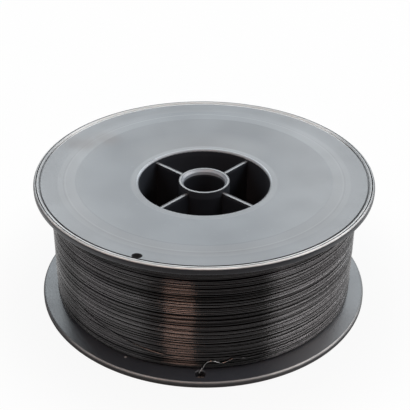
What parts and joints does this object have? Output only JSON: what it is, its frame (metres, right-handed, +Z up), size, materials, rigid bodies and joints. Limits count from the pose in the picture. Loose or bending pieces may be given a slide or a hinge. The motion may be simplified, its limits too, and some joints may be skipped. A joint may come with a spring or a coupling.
{
  "type": "spool of stitching wire",
  "caption": "Flanged plastic spool with dished flanges and a ribbed spindle tube, wound full of round steel stitching wire with its loose end tucked through a flange hole.",
  "frame": {"origin": "centre of the spool's axis on the floor, level with the rim that it stands on", "axes": "+Z up along the spool's axis; the ribs of the hub lie on the diagonals between +X and +Y"},
  "size_m": [0.2, 0.2, 0.079],
  "materials": {
    "spool_plastic": "satin moulded plastic, dark grey",
    "wire_steel": "drawn and annealed, dark oxide with a brown sheen"
  },
  "bodies": {
    "root": {"spool": "spool_plastic", "wire_coil": "wire_steel", "wire_tail": "wire_steel"}
  },
  "joints": []
}
